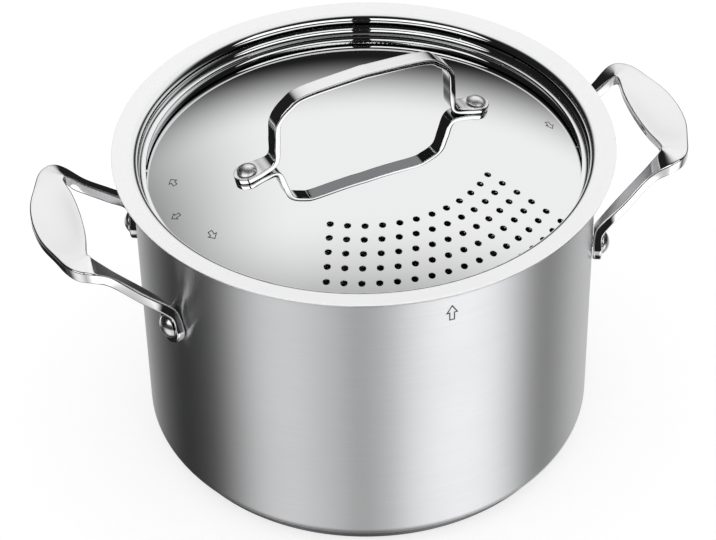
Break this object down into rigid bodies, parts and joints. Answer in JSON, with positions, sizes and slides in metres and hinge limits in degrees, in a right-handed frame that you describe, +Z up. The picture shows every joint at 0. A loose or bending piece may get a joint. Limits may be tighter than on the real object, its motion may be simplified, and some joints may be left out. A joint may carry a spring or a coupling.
{
  "type": "pasta pot",
  "caption": "Round stainless steel pasta pot with two cast loop handles and a lift-off strainer lid with a fan of drain holes and a strap handle.",
  "frame": {"origin": "centre of the underside of the base, on the pot's axis", "axes": "+Z up along the pot's axis, +X through the middle of the right side handle, -Y the front, where the lid's drain holes are"},
  "size_m": [0.3214, 0.2398, 0.2024],
  "materials": {
    "satin_steel": "satin, brushed round the pot",
    "mirror_steel": "bright polished stainless steel",
    "cast_steel": "polished cast stainless steel, satin on the grips",
    "rivet_steel": "polished",
    "core_aluminium": "plain"
  },
  "bodies": {
    "pot": {"pot_shell": "satin_steel", "base_cap": "satin_steel", "base_core": "core_aluminium", "right_handle": "cast_steel", "right_handle_rivet_front": "rivet_steel", "right_handle_rivet_back": "rivet_steel", "left_handle": "cast_steel", "left_handle_rivet_front": "rivet_steel", "left_handle_rivet_back": "rivet_steel", "pot_lock_catch_right": "satin_steel", "pot_lock_catch_left": "satin_steel"},
    "lid": {"lid": "mirror_steel", "lid_handle": "cast_steel", "lid_handle_rivet_right": "rivet_steel", "lid_handle_rivet_left": "rivet_steel", "lid_lock_lug_right": "satin_steel", "lid_lock_lug_left": "satin_steel"}
  },
  "joints": [
    {"name": "lid_lift", "type": "slide", "parent": "pot", "child": "lid", "axis": [0, 0, 1], "range_m": [0, 0.11]}
  ]
}
